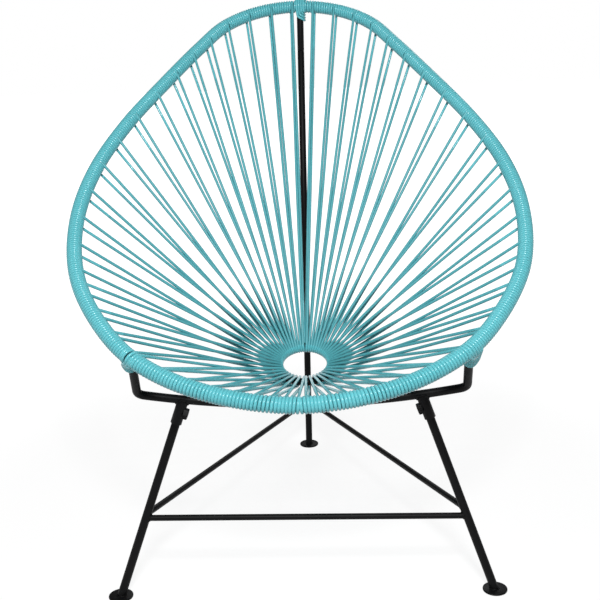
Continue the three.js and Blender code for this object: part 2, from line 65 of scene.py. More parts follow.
# how far each side's stations stray along the hoop, in shares of half its length: place, stray
STRAY = {
    -1: [(0, -0.0072), (0.05, -0.0082), (0.12, -0.0050), (0.16, -0.0018), (0.30, -0.0008), (0.50, -0.0018),
         (0.60, 0.0003), (0.73, -0.0012), (0.81, -0.0036), (0.86, -0.0020), (1, 0)],
    1: [(0, 0.0075), (0.05, 0.0080), (0.12, 0.0068), (0.20, 0.0114), (0.30, 0.0166), (0.45, 0.0164),
        (0.58, 0.0190), (0.65, 0.0164), (0.69, 0.0128), (0.735, 0.0080), (0.78, 0.0024), (1, 0)],
}
# the hoop isn't quite even: how far each side stands out from its even outline, in metres: place, distance
UNEVEN = {
    -1: [(0, 0), (0.10, 0.0008), (0.20, 0.0018), (0.35, 0.0028), (0.50, 0.0018), (0.68, 0.0010),
         (0.76, -0.0018), (0.88, -0.0022), (0.97, 0), (1, 0)],
    1: [(0, 0), (0.06, 0.0004), (0.14, -0.0018), (0.22, -0.0028), (0.34, -0.0018), (0.50, 0.0004),
        (0.66, 0.0008), (0.75, -0.0030), (0.84, -0.0030), (0.93, -0.0006), (1, 0)],
}
# width of one turn of the winding
BACK_PITCH = 0.00508
FRONT_PITCH = 0.00542
RING_Z = 0.2875
RING_R = 0.0520
RING_TUBE = 0.00665
RING_TILT = math.radians(21)
TUBE = 0.0070
ROD = 0.0050
FOOT_X = 0.306
FOOT_Y = -0.318
REAR_Y = 0.289
BAR_SETBACK = 0.066
BAR_DROP = 0.084
BAR_SPLAY = 0.0075
BAR_BOW = 0.041
LEG_TOP_X = 0.191
CROSSBAR_Z = 0.127
BRACE_FRONT_Z = 0.137
BRACE_REAR_Z = 0.098
PLATE_RADIUS = 0.020
PLATE_THICK = 0.0032
# the legs start just inside their plates
LEG_START_Z = 0.0030
# a tube welded to another ends this far short of the other's centre line
BITE = 0.004
SMALL_BEAD, BEAD, LARGE_BEAD = 0.0012, 0.0013, 0.0019

# facets round each section
HOOP_SIDES, TUBE_SIDES, ROD_SIDES = 20, 28, 24
STRAND_SIDES, WRAP_SIDES, BEAD_SIDES = 10, 12, 8


def vec(*a):
    return np.array(a, dtype=float)


def unit(a):
    return a / np.linalg.norm(a)


# ---------------------------------------------------------------- camera
def make_camera():
    place = Vector((0.0344, -1.7719, 0.8913))
    tilt, pan, roll = 0.2647, -0.0219, -0.0305
    ahead = vec(math.sin(pan) * math.cos(tilt), math.cos(pan) * math.cos(tilt), -math.sin(tilt))
    level = vec(math.cos(pan), -math.sin(pan), 0)
    upright = np.cross(level, ahead)
    right = math.cos(roll) * level + math.sin(roll) * upright
    up = -math.sin(roll) * level + math.cos(roll) * upright
    data = bpy.data.cameras.new("camera")
    data.sensor_width = 36
    data.lens = 60
    data.clip_start = 0.05
    camera = bpy.data.objects.new("camera", data)
    scene.collection.objects.link(camera)
    basis = Matrix((right, up, -ahead)).transposed().to_4x4()
    basis.translation = place
    camera.matrix_world = basis
    scene.camera = camera


make_camera()


# ---------------------------------------------------------------- materials
def node_material(name):
    material = bpy.data.materials.new(name)
    material.use_nodes = True
    tree = material.node_tree
    shader = tree.nodes["Principled BSDF"]
    return material, tree, shader


def noise(tree, coords, scale, detail, rough):
    node = tree.nodes.new("ShaderNodeTexNoise")
    node.inputs["Scale"].default_value = scale
    node.inputs["Detail"].default_value = detail
    node.inputs["Roughness"].default_value = rough
    tree.links.new(coords, node.inputs["Vector"])
    return node.outputs["Fac"]


def ramp(tree, factor, stops):
    """Colour that runs from one stop to the other."""
    node = tree.nodes.new("ShaderNodeValToRGB")
    for element, (place, colour) in zip(node.color_ramp.elements, stops):
        element.position = place
        element.color = (*colour, 1)
    tree.links.new(factor, node.inputs["Fac"])
    return node.outputs["Color"]


def span(tree, factor, low, high):
    """Value that runs from low to high."""
    node = tree.nodes.new("ShaderNodeMapRange")
    node.inputs["To Min"].default_value = low
    node.inputs["To Max"].default_value = high
    tree.links.new(factor, node.inputs["Value"])
    return node.outputs["Result"]


def bump(tree, shader, height, strength, distance):
    node = tree.nodes.new("ShaderNodeBump")
    node.inputs["Strength"].default_value = strength
    node.inputs["Distance"].default_value = distance
    tree.links.new(height, node.inputs["Height"])
    tree.links.new(node.outputs["Normal"], shader.inputs["Normal"])


def make_vinyl(name, dark, light, smooth, rough, gloss):
    material, tree, shader = node_material(name)
    coords = tree.nodes.new("ShaderNodeTexCoord").outputs["Object"]
    broad = noise(tree, coords, scale=7, detail=3, rough=0.55)
    colour = ramp(tree, broad, [(0.3, dark), (0.7, light)])
    tree.links.new(colour, shader.inputs["Base Color"])
    patches = noise(tree, coords, scale=45, detail=2, rough=0.5)
    tree.links.new(span(tree, patches, smooth, rough), shader.inputs["Roughness"])
    shader.inputs["IOR"].default_value = 1.5
    shader.inputs["Specular IOR Level"].default_value = gloss
    grain = noise(tree, coords, scale=220, detail=2, rough=0.5)
    bump(tree, shader, grain, strength=0.02, distance=0.0002)
    return material


def make_powder():
    material, tree, shader = node_material("black_powder_coat")
    coords = tree.nodes.new("ShaderNodeTexCoord").outputs["Object"]
    broad = noise(tree, coords, scale=14, detail=3, rough=0.6)
    colour = ramp(tree, broad, [(0.35, (0.0036, 0.0036, 0.0039)), (0.7, (0.0056, 0.0056, 0.0060))])
    tree.links.new(colour, shader.inputs["Base Color"])
    patches = noise(tree, coords, scale=60, detail=4, rough=0.65)
    tree.links.new(span(tree, patches, 0.40, 0.56), shader.inputs["Roughness"])
    shader.inputs["IOR"].default_value = 1.4
    shader.inputs["Specular IOR Level"].default_value = 0.16
    grain = noise(tree, coords, scale=1400, detail=2, rough=0.7)
    bump(tree, shader, grain, strength=0.25, distance=0.00025)
    return material


vinyl = make_vinyl("vinyl_cord", dark=(0.112, 0.468, 0.520), light=(0.132, 0.512, 0.566),
                   smooth=0.17, rough=0.23, gloss=0.38)
# a darker copy of the vinyl, painted shade for the back's strands; rougher and less glossy
shaded_vinyl = make_vinyl("vinyl_cord_painted_shade", dark=(0.088, 0.372, 0.416), light=(0.104, 0.410, 0.454),
                        smooth=0.34, rough=0.42, gloss=0.30)
powder = make_powder()


# ---------------------------------------------------------------- mesh helpers
def mesh_object(name, verts, faces, material, nodes, sharp):
    """Visible piece that rides the chair and stands for the named nodes; edges over so many degrees are
    left sharp."""
    mesh = bpy.data.meshes.new(name)
    mesh.from_pydata([tuple(v) for v in verts], [], faces)
    mesh.validate()
    mesh.update()
    mesh.polygons.foreach_set("use_smooth", [True] * len(mesh.polygons))
    mesh.set_sharp_from_angle(angle=math.radians(sharp))
    mesh.materials.append(material)
    piece = bpy.data.objects.new(name, mesh)
    scene.collection.objects.link(piece)
    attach(piece, "root")
    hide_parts(*nodes)
    return piece


class Build:
    """Gathers swept, turned and welded forms into one mesh."""

    def __init__(self):
        self.verts = []
        self.faces = []

    def rings(self, rings, closed=False):
        """Skin over a row of rings, with a cap at each open end."""
        base, n, sides = len(self.verts), len(rings), len(rings[0])
        for ring in rings:
            self.verts.extend(ring)
        for i in range(n if closed else n - 1):
            a = base + i * sides
            b = base + ((i + 1) % n) * sides
            for k in range(sides):
                k2 = (k + 1) % sides
                self.faces.append((a + k, a + k2, b + k2, b + k))
        if not closed:
            self.faces.append(tuple(base + k for k in range(sides - 1, -1, -1)))
            self.faces.append(tuple(base + (n - 1) * sides + k for k in range(sides)))

    def sweep(self, points, radius, sides, closed=False):
        """Round tube along a row of points; radius is one for all or one for each."""
        points = np.asarray(points, dtype=float)
        n = len(points)
        radius = np.broadcast_to(np.asarray(radius, dtype=float), (n,))
        if closed:
            heading = np.roll(points, -1, 0) - np.roll(points, 1, 0)
        else:
            heading = np.gradient(points, axis=0)
        heading /= np.linalg.norm(heading, axis=1)[:, None]
        side = vec(1, 0, 0)
        if abs(side @ heading[0]) > 0.9:
            side = vec(0, 0, 1)
        frames = []
        for h in heading:
            side = unit(side - h * (side @ h))
            frames.append(side)
        sides_v = np.array(frames)
        ups = np.cross(heading, sides_v)
        turn = 2 * math.pi * (np.arange(sides) + 0.5) / sides
        if closed:
            end = unit(sides_v[-1] - heading[0] * (sides_v[-1] @ heading[0]))
            slip = math.atan2(end @ ups[0], end @ sides_v[0])
            twist = -slip * np.arange(n) / n
        else:
            twist = np.zeros(n)
        angle = turn[None, :] + twist[:, None]
        rings = points[:, None, :] + radius[:, None, None] * (
            np.cos(angle)[..., None] * sides_v[:, None, :] + np.sin(angle)[..., None] * ups[:, None, :])
        self.rings(list(rings), closed)

    def lathe(self, centre, axis, profile, sides):
        """Closed solid of revolution; the profile is (radius, height) from one end to the other."""
        axis = unit(np.asarray(axis, float))
        side = vec(1, 0, 0) if abs(axis[0]) < 0.9 else vec(0, 1, 0)
        side = unit(side - axis * (side @ axis))
        up = np.cross(axis, side)
        turn = 2 * math.pi * np.arange(sides) / sides
        rings = [np.asarray(centre) + axis * h + r * (
            np.cos(turn)[:, None] * side + np.sin(turn)[:, None] * up) for r, h in profile]
        self.rings(rings)

    def weld(self, joint, rod_dir, rod_radius, tube_point, tube_dir, tube_radius, bead):
        """Bead where a rod that runs along rod_dir to the joint meets the side of a tube."""
        rod_dir, tube_dir = unit(rod_dir), unit(tube_dir)
        side = unit(np.cross(rod_dir, tube_dir))
        up = np.cross(side, rod_dir)
        reach, count = 0.03, 40
        start = joint - rod_dir * reach
        points, radii = [], []
        for k in range(count):
            t = 2 * math.pi * k / count
            p = start + rod_radius * (math.cos(t) * side + math.sin(t) * up)
            # how far it is from here along the rod to the tube's side
            w = p - tube_point
            m = w - tube_dir * (w @ tube_dir)
            d = rod_dir - tube_dir * (rod_dir @ tube_dir)
            aa, bb, cc = d @ d, 2 * m @ d, m @ m - tube_radius ** 2
            root = max(bb * bb - 4 * aa * cc, 0)
            s = (-bb - math.sqrt(root)) / (2 * aa)
            points.append(p + rod_dir * s)
            ripple = 0.16 * math.sin(t * 11) + 0.06 * math.sin(t * 5 + 1)
            radii.append(bead * (1 + ripple))
        self.sweep(points, radii, BEAD_SIDES, closed=True)

    def make(self, name, material, nodes, sharp=50):
        return mesh_object(name, self.verts, self.faces, material, nodes, sharp)


# ---------------------------------------------------------------- hoop centre line
ALONG = vec(0, math.cos(RIM_SLOPE), math.sin(RIM_SLOPE))
RIM_UP = vec(0, -math.sin(RIM_SLOPE), math.cos(RIM_SLOPE))


def rim_point(share, width, side):
    sag = 4 * RIM_BOW * share * (1 - share)
    return (vec(side * width * RIM_HALF_WIDTH, 0, 0) + ALONG * (share - 0.5) * RIM_LENGTH
            - RIM_UP * sag + vec(0, 0, RIM_FRONT_HEIGHT + math.sin(RIM_SLOPE) * RIM_LENGTH / 2))


def catmull_closed(points):
    """Centripetal curve through a closed row of points."""
    n, per = len(points), 400
    out = []
    for i in range(n):
        p0, p1, p2, p3 = (points[(i + k) % n] for k in (-1, 0, 1, 2))
        d0, d1, d2 = (math.sqrt(np.linalg.norm(b - a)) for a, b in ((p0, p1), (p1, p2), (p2, p3)))
        t1 = ((p1 - p0) / d0 - (p2 - p0) / (d0 + d1) + (p2 - p1) / d1) * d1
        t2 = ((p2 - p1) / d1 - (p3 - p1) / (d1 + d2) + (p3 - p2) / d2) * d1
        t = (np.arange(per) / per)[:, None]
        out.append((2 * t ** 3 - 3 * t ** 2 + 1) * p1 + (t ** 3 - 2 * t ** 2 + t) * t1
                   + (-2 * t ** 3 + 3 * t ** 2) * p2 + (t ** 3 - t ** 2) * t2)
    return np.concatenate(out)


control = ([rim_point(1, 0, 1)] + [rim_point(a, w, -1) for a, w in reversed(OUTLINE)]
           + [rim_point(0, 0, 1)] + [rim_point(a, w, 1) for a, w in OUTLINE])
line = catmull_closed(control)
loop = np.vstack([line, line[:1]])
steps = np.linalg.norm(np.diff(loop, axis=0), axis=1)
arcs = np.concatenate([[0], np.cumsum(steps)])
HALF = arcs[-1] / 2


def eased(table):
    """The rows of a table as a smooth curve."""
    cells, reach = 400, 16
    place = np.linspace(0, 1, cells + 1)
    value = np.interp(place, *zip(*table))
    padded = np.pad(value, reach, mode="reflect", reflect_type="odd")
    weight = np.hanning(2 * reach + 1)
    return place, np.convolve(padded, weight / weight.sum(), "valid")


EASED = {s: eased(UNEVEN[s]) for s in (-1, 1)}


def uneven(arc, side):
    """How far the hoop stands out at an arc length from the back, which may run past either end."""
    share = np.asarray(arc) / HALF
    share = np.abs((share + 1) % 2 - 1)
    return np.interp(share, *EASED[side])


def on_rim(arc, side):
    """Centre, heading (from the back to the front), outward and up of the hoop at an arc length."""
    arc = np.atleast_1d(np.asarray(arc, dtype=float))
    step = 0.0015

    def at(s):
        s = np.mod(s, arcs[-1])
        return np.stack([np.interp(s, arcs, loop[:, k]) for k in range(3)], -1)

    centre = at(arc)
    heading = at(arc + step) - at(arc - step)
    heading /= np.linalg.norm(heading, axis=1)[:, None]
    up = RIM_UP - heading * (heading @ RIM_UP)[:, None]
    up /= np.linalg.norm(up, axis=1)[:, None]
    outward = -np.cross(up, heading)
    if side > 0:
        flip = vec(-1, 1, 1)
        centre, heading, up, outward = (v * flip for v in (centre, heading, up, outward))
    return centre + outward * uneven(arc, side)[:, None], heading, outward, up


def station_arcs(side):
    """Arc lengths from the back at which a side's pairs leave the hoop."""
    cells = 2400
    middle = (np.arange(cells) + 0.5) / cells
    passed = np.concatenate([[0], np.cumsum(1 / np.interp(middle, *zip(*SPACING)))])
    wanted = (np.arange(PAIRS) + 0.5) / PAIRS * passed[-1]
    share = np.interp(wanted, passed, np.arange(cells + 1) / cells)
    return (share + np.interp(share, *zip(*STRAY[side]))) * HALF


STATIONS = {s: station_arcs(s) for s in (-1, 1)}
CORNER = CORNER_SHARE * HALF

# ---------------------------------------------------------------- centre ring
RING_UP = vec(0, -math.sin(RING_TILT), math.cos(RING_TILT))
RING_BACK = vec(0, math.cos(RING_TILT), math.sin(RING_TILT))
RING_C = vec(0.0014, 0, RING_Z)
LOOP_R = RING_TUBE + CORD + CLEAR
LOOP_STEPS = 14
# the first loops of a side stand closer round the ring: their count, their step, the others' step, degrees
CROWDED, CROWDED_STEP, WIDE_STEP = 16, 5.75, 8.8


def ring_out(angle, side):
    """Way out from the ring's centre, by angle from the back."""
    return vec(side * math.sin(angle), 0, 0) + RING_BACK * math.cos(angle)


def ring_angle(i):
    """Place of a pair's loop round the ring: crowded at the back, wider apart at the front."""
    if i < CROWDED:
        return math.radians((i + 0.5) * CROWDED_STEP)
    return math.radians(CROWDED * CROWDED_STEP + (i + 0.5 - CROWDED) * WIDE_STEP)


def seat_angle(arc, side, target, layer):
    """Angle round the hoop at which a cord running to the target leaves the winding: layer 1 leaves from
    the top, layer -1 from below."""
    centre, heading, outward, up = (v[0] for v in on_rim(arc, side))
    d = target - centre
    d = unit(d - heading * (d @ heading))
    angle = math.atan2(d @ up, d @ outward) - layer * math.pi / 2
    return math.atan2(math.sin(angle), math.cos(angle))


# ---------------------------------------------------------------- cords
WINDING_R = HOOP + CORD + CLEAR
TURN_STEP = 2 * math.pi / 14
# a strand's points, its sideways waver as a share of its length, and how near its crossing it is bent
STRAND_POINTS, WAVER, BEND_NEAR = 9, 0.0010, 0.02
# how much thinner the cord is where it goes round the ring
RING_SQUEEZE = 0.1


def helix(arc0, angle0, arc1, angle1, side):
    """The cord's path round the hoop from one arc length and angle to another."""
    count = max(int(abs(angle1 - angle0) / TURN_STEP), 2)
    t = np.linspace(0, 1, count + 1)
    angle = angle0 + (angle1 - angle0) * t
    centre, _, outward, up = on_rim(arc0 + (arc1 - arc0) * t, side)
    return centre + WINDING_R * (np.cos(angle)[:, None] * outward + np.sin(angle)[:, None] * up)


def ring_loop(i, side, seat_over, seat_under):
    """From the ring's underside up round its inner side and back out over it, a little further on."""
    lead = (ring_angle(i + 0.5) - ring_angle(i - 0.5)) / 4

    def touch(seat, layer, angle):
        out = ring_out(angle, side)
        reach = seat - RING_C - out * RING_R
        across, above = reach @ out, reach @ RING_UP
        return math.atan2(above, across) + layer * math.acos(LOOP_R / math.hypot(across, above))

    start = touch(seat_over, -1, ring_angle(i) - lead)
    end = touch(seat_under, 1, ring_angle(i) + lead) - 2 * math.pi
    points = []
    for k in range(LOOP_STEPS + 1):
        turn = start + (end - start) * k / LOOP_STEPS
        out = ring_out(ring_angle(i) + lead * (2 * k / LOOP_STEPS - 1), side)
        points.append(RING_C + out * (RING_R + LOOP_R * math.cos(turn)) + RING_UP * LOOP_R * math.sin(turn))
    return points


def crossing(a0, a1, b0, b1, forward):
    """Where two strands pass: the share along each and the way to the first one's side."""
    da, db, w = a1 - a0, b1 - b0, a0 - b0
    aa, ab, bb, aw, bw = da @ da, da @ db, db @ db, da @ w, db @ w
    base = aa * bb - ab * ab
    sa = (ab * bw - bb * aw) / base
    sb = (aa * bw - ab * aw) / base
    aside = unit(np.cross(da, db))
    if aside @ forward > 0:
        aside = -aside
    room = 2 * CORD + CLEAR - (a0 + da * sa - b0 - db * sb) @ aside
    return sa, sb, aside * max(room, 0) / 2


def strand(a, b, place, push):
    """Taut cord between two points, pushed aside where it passes its fellow, with a slight waver."""
    t = np.sort(np.append(np.linspace(0, 1, STRAND_POINTS), [place - BEND_NEAR, place + BEND_NEAR]))
    d = unit(b - a)
    s = unit(np.cross(d, vec(0, 0, 1)))
    u = np.cross(s, d)
    size = np.linalg.norm(b - a) * WAVER
    p, q = rng.uniform(-1, 1) * size, rng.uniform(-1, 1) * size
    hump = np.sin(math.pi * t)
    bend = np.minimum(np.minimum(t / place, (1 - t) / (1 - place)), 1)
    return a + (b - a) * t[:, None] + hump[:, None] * (p * s + q * u) + bend[:, None] * push


def wind(first, last, arc_start, arc_end, side, pitch, name, nodes):
    """One winding of a side: the cord runs round the hoop, down to the ring and back, pair by pair."""
    build = Build()
    path, radii, looks = [], [], []
    wound, pulled = pitch * 0.5, CORD * 1.05
    # the back's strands take the piece's second material, the darker copy that paints shade on them
    strand_look = int(pitch == BACK_PITCH)

    def put(points, radius, look=0):
        points = list(points)
        path.extend(points)
        looks.extend([look] * len(points))
        if np.isscalar(radius):
            radius = [radius] * len(points)
        radii.extend(radius)

    def last_angle(arc0, angle0, arc1, angle1):
        """The second angle with the whole turns added that the pitch gives over the distance."""
        n = round((arc1 - arc0) / pitch - (angle1 - angle0) / (2 * math.pi))
        return angle1 + 2 * math.pi * max(n, 0)

    at_arc, at_angle = arc_start, -math.pi / 2
    for i in range(first, last):
        over = STATIONS[side][i]
        loop_centre = RING_C + ring_out(ring_angle(i), side) * RING_R
        top = seat_angle(over, side, loop_centre, 1)
        low = seat_angle(over, side, loop_centre, -1)
        under = over + pitch * (low - top + 2 * math.pi) / (2 * math.pi)
        end_angle = last_angle(at_arc, at_angle, over, top)
        put(helix(at_arc, at_angle, over, end_angle, side), wound)
        seat_over = path[-1]
        seat_under = helix(under, low, under, low, side)[0]
        round_ring = ring_loop(i, side, seat_over, seat_under)
        going, coming, push = crossing(seat_over, round_ring[0], round_ring[-1], seat_under,
                                       on_rim(over, side)[1][0])
        put(strand(seat_over, round_ring[0], going, push)[1:-1], pulled, strand_look)
        put(round_ring, [pulled * (1 - RING_SQUEEZE * math.sin(math.pi * k / LOOP_STEPS))
                         for k in range(LOOP_STEPS + 1)])
        put(strand(round_ring[-1], seat_under, coming, -push)[1:-1], pulled, strand_look)
        at_arc, at_angle = under, low
    end_angle = last_angle(at_arc, at_angle, arc_end, math.pi)
    put(helix(at_arc, at_angle, arc_end, end_angle, side), wound)
    build.sweep(path, radii, STRAND_SIDES)
    piece = build.make(name, vinyl, nodes, sharp=60)
    # second material: the vinyl darkened as painted shade
    piece.data.materials.append(shaded_vinyl)
    # the skin's faces come point by point, the two caps last
    index = np.zeros(len(piece.data.polygons), dtype=np.int32)
    index[:(len(looks) - 1) * STRAND_SIDES] = np.repeat(looks[1:], STRAND_SIDES)
    piece.data.polygons.foreach_set("material_index", index)


# the left side's two windings leave a thin gap over the upright; the right side's meet
for side, word, back_end, front_start in ((-1, "left", -0.0028, 0.0004), (1, "right", -0.0023, -0.0010)):
    wind(0, BACK_PAIRS, BACK_PITCH / 2, CORNER + back_end, side, BACK_PITCH, f"back_winding_{word}",
         [f"back_cord_panel_{word}_{k}" for k in (1, 2, 3, 4)])
    wind(BACK_PAIRS, PAIRS, CORNER + front_start, HALF, side, FRONT_PITCH,
         f"front_winding_{word}", [f"front_cord_panel_{word}_{k}" for k in (1, 2)])


# ---------------------------------------------------------------- steel
def make_hoop():
    build = Build()
    half_points = 160
    arc = np.linspace(0, HALF, half_points, endpoint=False)
    left = on_rim(arc, -1)[0]
    right = on_rim(HALF - arc, 1)[0]
    build.sweep(np.vstack([left, right]), HOOP, HOOP_SIDES, closed=True)
    build.make("hoop", powder, ["rim_hoop"])


def make_ring():
    build = Build()
    points = 96
    turn = np.linspace(0, 2 * math.pi, points, endpoint=False)
    build.sweep([RING_C + ring_out(t, 1) * RING_R for t in turn], RING_TUBE, HOOP_SIDES, closed=True)
    build.make("ring", powder, ["centre_ring"])


DOWN_BAR = unit(vec(0, BAR_SETBACK, -BAR_DROP))


def bar_end(side):
    """Where an upright of the support bar starts at the hoop and where it would end, but for the bend."""
    top = on_rim(CORNER, side)[0][0]
    return top, top + vec(side * BAR_SPLAY, BAR_SETBACK, -BAR_DROP)


def bar_point(x):
    """Point of the support bar's bowed run, by distance to the right."""
    bottom = bar_end(1)[1]
    return vec(x, bottom[1], bottom[2]) + DOWN_BAR * BAR_BOW * (1 - (x / bottom[0]) ** 2)


LEG_FOOT = {s: vec(s * FOOT_X, FOOT_Y, 0) for s in (-1, 1)}
LEG_TOP = {s: bar_point(s * LEG_TOP_X) for s in (-1, 1)}
REAR_FOOT = vec(0, REAR_Y, 0)
HOOP_BACK = on_rim(0.0049, 1)[0][0]
REAR_DIR = unit(HOOP_BACK - REAR_FOOT)


def leg_at(side, z):
    return LEG_FOOT[side] + (LEG_TOP[side] - LEG_FOOT[side]) * (z / LEG_TOP[side][2])


def rear_at(z):
    return REAR_FOOT + REAR_DIR * (z / REAR_DIR[2])


def make_bar():
    build = Build()
    top, bottom = bar_end(1)
    bend, bend_steps, run_steps = 0.012, 10, 24
    corner = bar_point(bottom[0])
    inward = bar_point(bottom[0] - bend)
    fall = unit(bottom - top)
    half = [top + fall * BITE]
    start = corner - fall * bend
    half.append(half[0] + (start - half[0]) * 0.5)
    for k in range(bend_steps + 1):
        t = k / bend_steps
        half.append((1 - t) ** 2 * start + 2 * t * (1 - t) * corner + t * t * inward)
    for k in range(1, run_steps):
        half.append(bar_point(inward[0] * (1 - k / run_steps)))
    flip = vec(-1, 1, 1)
    build.sweep(half + [bar_point(0)] + [p * flip for p in reversed(half)], TUBE, TUBE_SIDES)
    for side in (-1, 1):
        top, bottom = bar_end(side)
        centre, heading = (v[0] for v in on_rim(CORNER, side)[:2])
        fall = unit(bottom - top)
        build.weld(top, -fall, TUBE, centre, heading, HOOP, SMALL_BEAD)
    build.make("support_bar_piece", powder, ["support_bar"])


def weld_to_plate(build, foot, heading):
    """Bead where a leg meets its plate, whose flat top is the side of a tube 10 m in radius."""
    flat = 10
    axis = vec(foot[0], foot[1], PLATE_THICK - flat)
    build.weld(foot, -heading, TUBE, axis, vec(1, 0, 0), flat, SMALL_BEAD)


def make_leg(side, word):
    build = Build()
    foot, top = LEG_FOOT[side], LEG_TOP[side]
    d = unit(top - foot)
    start = foot + d * (LEG_START_Z / d[2])
    short = 0.013
    build.sweep([start, foot + (top - foot) * 0.5, top - d * short], TUBE, TUBE_SIDES)
    weld_to_plate(build, foot, d)
    build.make(f"front_leg_tube_{word}", powder, [f"front_leg_{word}"])


def make_socket(side, word):
    build = Build()
    foot, top = LEG_FOOT[side], LEG_TOP[side]
    d = unit(top - foot)
    outer, inner, edge = 0.0092, 0.00715, 0.0005
    mouth, inner_end, outer_end, roof = 0.041, 0.012, 0.010, 0.0045
    build.lathe(top, -d, [
        (inner, inner_end), (inner, mouth - edge), (inner + edge, mouth), (outer - edge, mouth),
        (outer, mouth - edge), (outer, outer_end), (outer - 0.0002, roof), (outer - 0.0007, 0.002)], sides=36)
    x, step = side * LEG_TOP_X, 0.002
    tangent = unit(bar_point(x + step) - bar_point(x - step))
    build.weld(top, d, outer, top, tangent, TUBE, LARGE_BEAD)
    build.make(f"socket_{word}", powder, [f"leg_socket_{word}"])
    bolt = Build()
    inward = vec(-side, 0, 0)
    inward = unit(inward - d * (inward @ d))
    bolt_drop, bolt_out, half_flats = 0.021, 0.0066, 0.0082
    seat = top - d * bolt_drop + inward * bolt_out
    corner = half_flats / math.cos(math.pi / 6)
    profile = [(corner, 0), (corner, 0.0070), (corner - 0.0008, 0.0079), (0.004, 0.0083)]
    bolt.lathe(seat, inward, profile, sides=6)
    bolt.make(f"bolt_{word}", powder, [f"socket_bolt_{word}"], sharp=28)


def make_foot(centre, name, node):
    build = Build()
    r, t, e = PLATE_RADIUS, PLATE_THICK, 0.0008
    profile = [(r - e, 0), (r - e * 0.3, e * 0.3), (r, e), (r, t - e), (r - e * 0.3, t - e * 0.3), (r - e, t)]
    build.lathe(vec(centre[0], centre[1], 0), (0, 0, 1), profile, sides=56)
    build.make(name, powder, [node])


def make_rear():
    """The rear leg and the stub over it, with a fine groove where they meet."""
    leg = Build()
    stub_length, edge = 0.092, 0.0006
    seam = HOOP_BACK - REAR_DIR * stub_length
    start = REAR_FOOT + REAR_DIR * (LEG_START_Z / REAR_DIR[2])
    leg.sweep([start, start + (seam - start) * 0.5, seam - REAR_DIR * 0.0011, seam - REAR_DIR * 0.0003],
              [TUBE, TUBE, TUBE, TUBE - edge], TUBE_SIDES)
    weld_to_plate(leg, REAR_FOOT, REAR_DIR)
    leg.make("rear_leg_tube", powder, ["rear_leg"])
    stub = Build()
    stub.sweep([seam + REAR_DIR * 0.0001, seam + REAR_DIR * 0.0009, HOOP_BACK - REAR_DIR * BITE],
               [TUBE - edge, TUBE, TUBE], TUBE_SIDES)
    centre, heading = (v[0] for v in on_rim(0, -1)[:2])
    stub.weld(HOOP_BACK, REAR_DIR, TUBE, centre, heading, HOOP, SMALL_BEAD)
    stub.make("rear_stub_tube", powder, ["rear_leg_stub"])


def make_rods():
    bar = Build()
    # welded a touch out of level
    left_rise, right_drop = 0.0030, 0.0035
    a, b = leg_at(-1, CROSSBAR_Z + left_rise), leg_at(1, CROSSBAR_Z - right_drop)
    bar.sweep([a, (a + b) / 2, b], ROD, ROD_SIDES)
    for s, end in ((-1, a), (1, b)):
        bar.weld(end, unit(b - a) * s, ROD, LEG_FOOT[s], LEG_TOP[s] - LEG_FOOT[s], TUBE, BEAD)
    bar.make("crossbar_rod", powder, ["crossbar"])
    for s, word in ((-1, "left"), (1, "right")):
        brace = Build()
        a, b = leg_at(s, BRACE_FRONT_Z), rear_at(BRACE_REAR_Z)
        d = unit(b - a)
        brace.sweep([a + d * 0.002, (a + b) / 2, b - d * BITE], ROD, ROD_SIDES)
        brace.weld(a, -d, ROD, LEG_FOOT[s], LEG_TOP[s] - LEG_FOOT[s], TUBE, BEAD)
        brace.weld(b, d, ROD, REAR_FOOT, REAR_DIR, TUBE, BEAD)
        brace.make(f"brace_rod_{word}", powder, [f"brace_{word}"])


make_hoop()
make_ring()
make_bar()
for s, word in ((-1, "left"), (1, "right")):
    make_leg(s, word)
    make_socket(s, word)
    make_foot(LEG_FOOT[s], f"foot_front_{word}", f"foot_plate_front_{word}")
make_foot(REAR_FOOT, "foot_rear", "foot_plate_rear")
make_rear()
make_rods()


# ---------------------------------------------------------------- cord drawn across the tube tops
# The turns below pass through rows of points: post() and at() give them along the hoop, down and out from
# the top of the wrapped tube, and hoop() by the place along the hoop and the angle round it.
def open_curve(points):
    """Smooth curve through an open row of points."""
    out, per = [], 7
    for i in range(len(points) - 1):
        p0, p1 = points[max(i - 1, 0)], points[i]
        p2, p3 = points[i + 1], points[min(i + 2, len(points) - 1)]
        for k in range(per):
            t = k / per
            out.append(0.5 * (2 * p1 + (p2 - p0) * t + (2 * p0 - 5 * p1 + 4 * p2 - p3) * t * t
                              + (3 * p1 - p0 - 3 * p2 + p3) * t ** 3))
    return out + [points[-1]]


